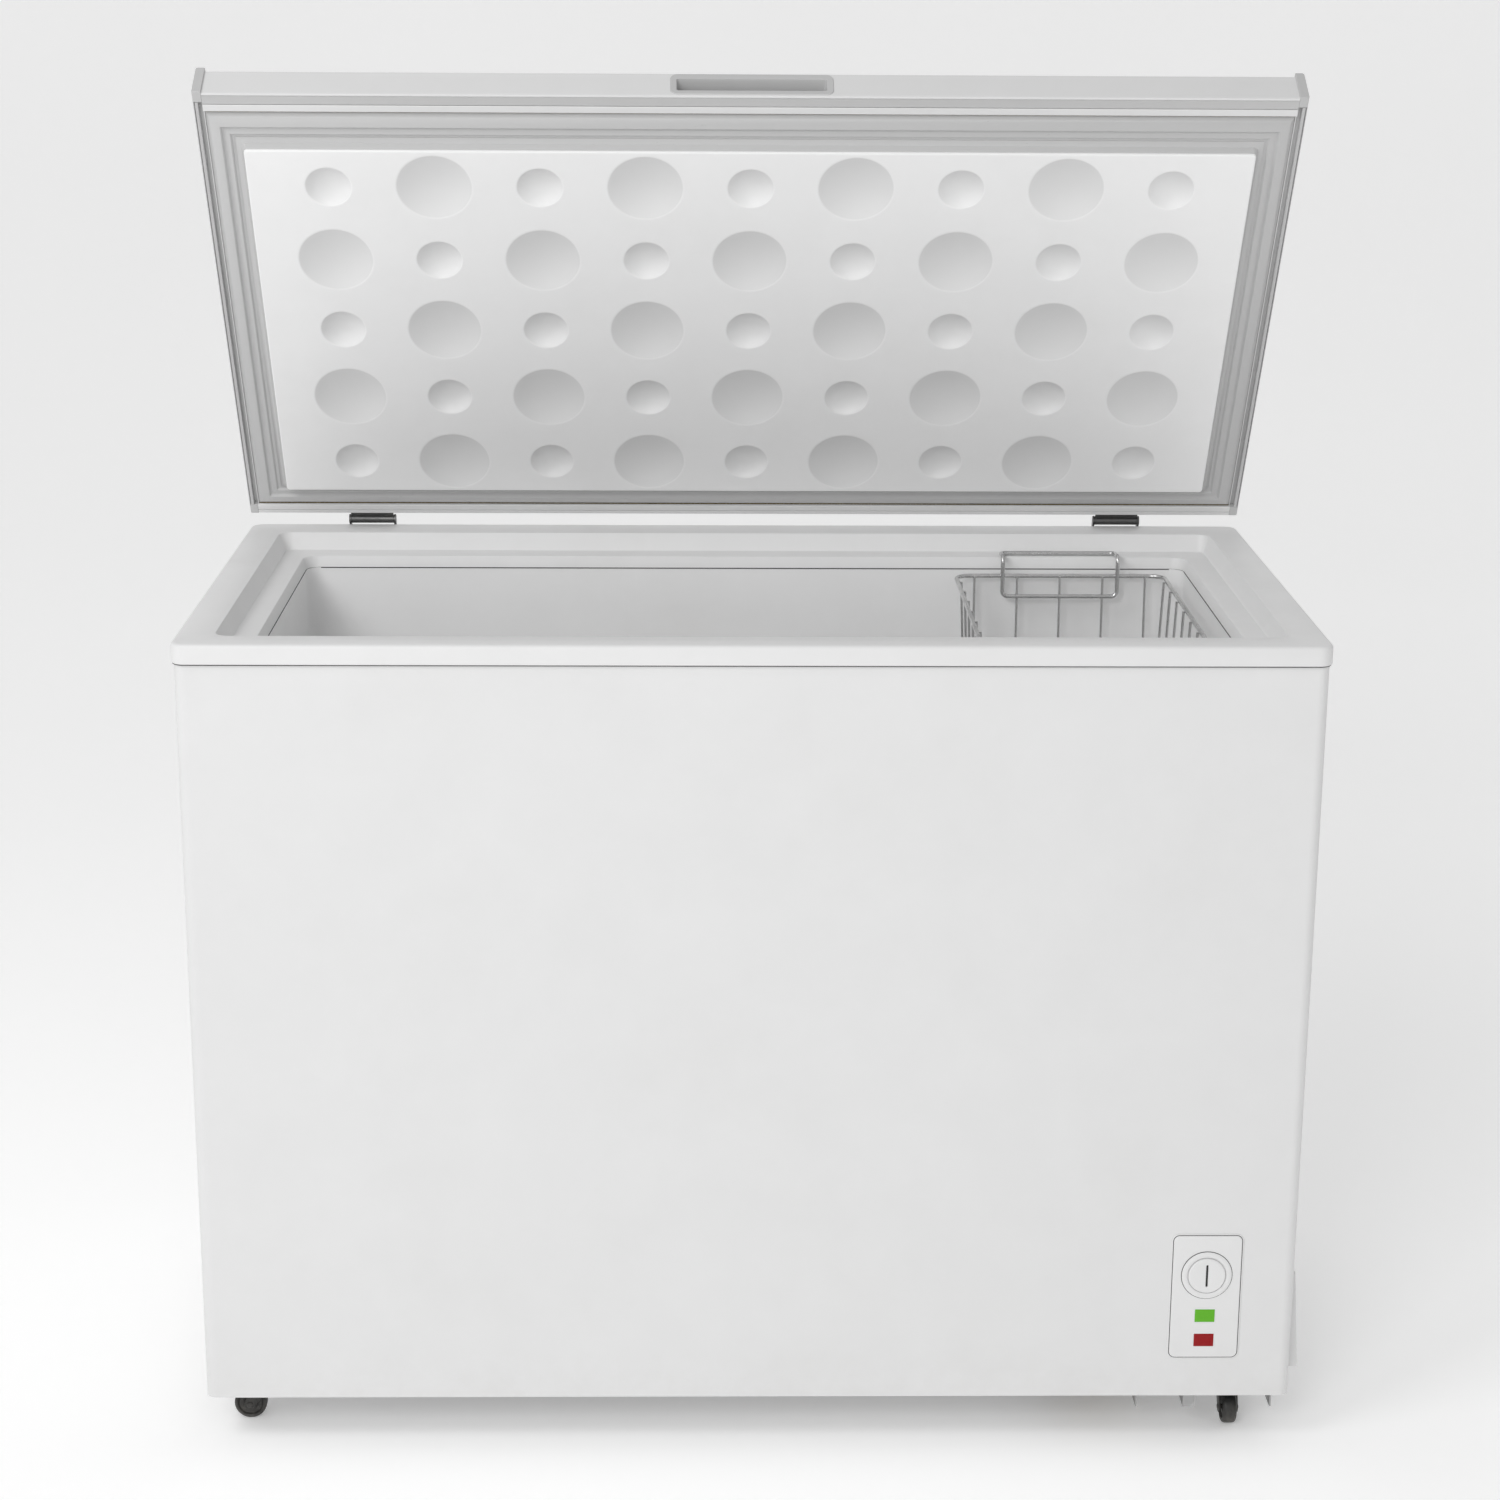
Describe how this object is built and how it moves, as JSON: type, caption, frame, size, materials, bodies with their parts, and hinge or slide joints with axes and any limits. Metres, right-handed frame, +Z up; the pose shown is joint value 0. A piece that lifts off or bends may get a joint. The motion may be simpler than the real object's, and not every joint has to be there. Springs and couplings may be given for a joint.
{
  "type": "chest freezer",
  "caption": "White chest freezer on swivel casters, its hinged foam-filled lid propped open over a stepped tank with a hanging wire basket; dial and two lamps low on the front.",
  "frame": {"origin": "on the floor, under the centre of the cabinet's rim collar", "axes": "+Z up; -Y is the front with the dial and the handle; +X is the viewer's right, with the machine compartment"},
  "size_m": [1.0713, 0.5803, 1.2966],
  "materials": {
    "white_enamel": "satin",
    "white_moulding": "satin",
    "lid_panel": "satin",
    "pale_trim": "satin",
    "grey_trim": "satin",
    "grey_gasket": "matte",
    "tank_sheet": "satin",
    "rigid_foam": "matte",
    "galvanised": "satin",
    "zinc_steel": "satin",
    "plated_wire": "gloss",
    "copper_pipe": "satin",
    "black_enamel": "satin",
    "black_nylon": "satin",
    "black_rubber": "matte",
    "green_lens": "gloss",
    "red_lens": "gloss"
  },
  "bodies": {
    "cabinet": {"outer_wrap": "white_enamel", "rear_panel": "white_enamel", "rear_cover": "galvanised", "cable_gland": "black_rubber", "bottom_panel": "galvanised", "inner_tank": "tank_sheet", "insulation_foam": "rigid_foam", "collar": "white_moulding", "base_plate": "galvanised", "base_bracket": "galvanised", "vent_hood": "white_moulding", "compressor": "black_enamel", "compressor_grommets": "black_rubber", "compressor_bolts": "zinc_steel", "relay_box": "black_nylon", "condenser_coil": "copper_pipe", "evaporator_coil": "tank_sheet", "suction_pipe": "copper_pipe", "discharge_pipe": "copper_pipe", "filter_drier": "copper_pipe", "capillary_tube": "copper_pipe", "control_panel": "white_moulding", "thermostat_body": "black_nylon", "sensor_tube": "copper_pipe", "green_lens": "green_lens", "red_lens": "red_lens", "lamp_holders": "black_nylon", "drain_tube": "white_moulding", "drain_plug": "black_rubber", "hinge_bracket_left": "zinc_steel", "hinge_bracket_right": "zinc_steel", "hinge_pins": "zinc_steel", "hinge_springs": "zinc_steel", "hinge_screws": "zinc_steel", "caster_plates": "zinc_steel"},
    "lid": {"lid_shell": "white_enamel", "lid_foam": "rigid_foam", "lid_liner": "lid_panel", "lid_gasket": "grey_gasket", "lid_end_trim_left": "grey_trim", "lid_end_trim_right": "grey_trim", "lid_front_trim": "pale_trim", "lid_rear_trim": "pale_trim", "handle_recess": "grey_trim", "hinge_leaf_left": "zinc_steel", "hinge_leaf_right": "zinc_steel", "leaf_screws": "zinc_steel"},
    "basket": {"basket_frame": "plated_wire", "basket_hanger_front": "plated_wire", "basket_hanger_rear": "plated_wire"},
    "dial": {"thermostat_dial": "white_moulding"},
    "fork_front_left": {"fork_front_left": "black_nylon"},
    "wheel_front_left": {"wheel_front_left": "black_nylon"},
    "fork_front_right": {"fork_front_right": "black_nylon"},
    "wheel_front_right": {"wheel_front_right": "black_nylon"},
    "fork_rear_left": {"fork_rear_left": "black_nylon"},
    "wheel_rear_left": {"wheel_rear_left": "black_nylon"},
    "fork_rear_right": {"fork_rear_right": "black_nylon"},
    "wheel_rear_right": {"wheel_rear_right": "black_nylon"}
  },
  "joints": [
    {"name": "lid_hinge", "type": "hinge", "parent": "cabinet", "child": "lid", "pos_m": [0, 0.277, 0.808], "axis": [-1, 0, 0], "range_deg": [-58.9, 21.1]},
    {"name": "basket_slide", "type": "slide", "parent": "cabinet", "child": "basket", "axis": [-1, 0, 0], "range_m": [-0.015, 0.675]},
    {"name": "dial_turn", "type": "hinge", "parent": "cabinet", "child": "dial", "pos_m": [0.4408, -0.2739, 0.1788], "axis": [0, -1, 0], "range_deg": [-150, 150]},
    {"name": "swivel_front_left", "type": "hinge", "parent": "cabinet", "child": "fork_front_left", "pos_m": [-0.476, -0.213, 0.04], "axis": [0, 0, 1], "continuous": true},
    {"name": "roll_front_left", "type": "hinge", "parent": "fork_front_left", "child": "wheel_front_left", "pos_m": [-0.493, -0.213, 0.016], "axis": [0, 1, 0], "continuous": true},
    {"name": "swivel_front_right", "type": "hinge", "parent": "cabinet", "child": "fork_front_right", "pos_m": [0.476, -0.213, 0.04], "axis": [0, 0, 1], "continuous": true},
    {"name": "roll_front_right", "type": "hinge", "parent": "fork_front_right", "child": "wheel_front_right", "pos_m": [0.476, -0.23, 0.016], "axis": [-1, 0, 0], "continuous": true},
    {"name": "swivel_rear_left", "type": "hinge", "parent": "cabinet", "child": "fork_rear_left", "pos_m": [-0.476, 0.213, 0.04], "axis": [0, 0, 1], "continuous": true},
    {"name": "roll_rear_left", "type": "hinge", "parent": "fork_rear_left", "child": "wheel_rear_left", "pos_m": [-0.46207, 0.20325, 0.016], "axis": [-0.5736, -0.8192, 0], "continuous": true},
    {"name": "swivel_rear_right", "type": "hinge", "parent": "cabinet", "child": "fork_rear_right", "pos_m": [0.476, 0.213, 0.04], "axis": [0, 0, 1], "continuous": true},
    {"name": "roll_rear_right", "type": "hinge", "parent": "fork_rear_right", "child": "wheel_rear_right", "pos_m": [0.48993, 0.22275, 0.016], "axis": [0.5736, -0.8192, 0], "continuous": true}
  ]
}
